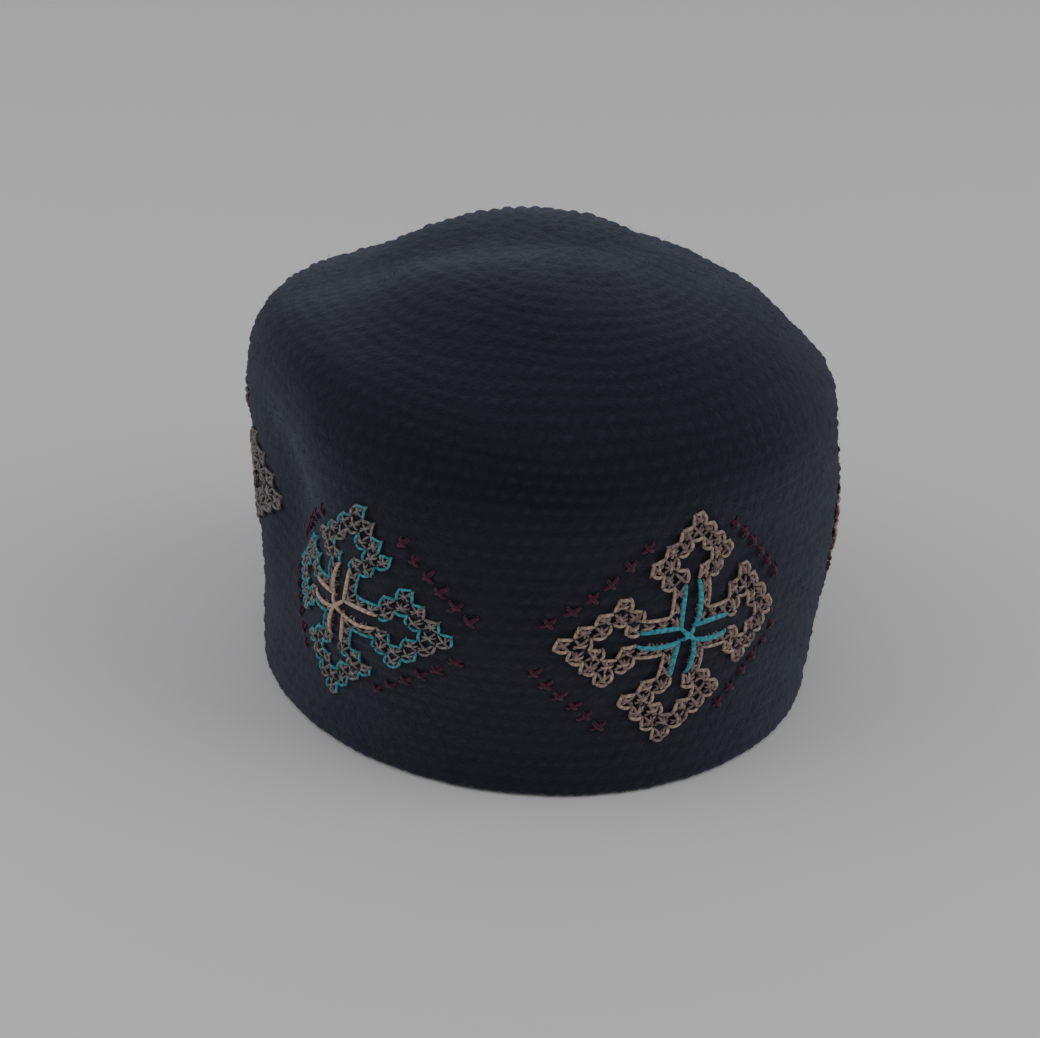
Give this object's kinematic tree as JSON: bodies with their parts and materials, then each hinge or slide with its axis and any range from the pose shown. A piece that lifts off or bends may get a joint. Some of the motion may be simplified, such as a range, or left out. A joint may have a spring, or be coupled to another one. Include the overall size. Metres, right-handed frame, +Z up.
{
  "type": "crocheted monastic hat",
  "caption": "Soft domed hat crocheted in rounds, hollow, with a plain rim and raised embroidered crosses round its side.",
  "frame": {"origin": "bottom centre of the hat's box, in the plane of its rim", "axes": "+Z up through the crown, the front (between the two crosses that show most) towards -Y, +X to the viewer's right"},
  "size_m": [0.1922, 0.1894, 0.1504],
  "materials": {
    "hat_body": "matt black wool, slightly fuzzy",
    "cross_front_right": "matt beige embroidery yarn",
    "cross_front_left": "matt turquoise embroidery yarn",
    "cross_left": "matt beige embroidery yarn",
    "cross_back": "matt turquoise embroidery yarn",
    "cross_right": "matt beige embroidery yarn"
  },
  "bodies": {
    "root": {"hat_body": "hat_body", "cross_front_right": "cross_front_right", "cross_front_left": "cross_front_left", "cross_left": "cross_left", "cross_back": "cross_back", "cross_right": "cross_right"}
  },
  "joints": []
}
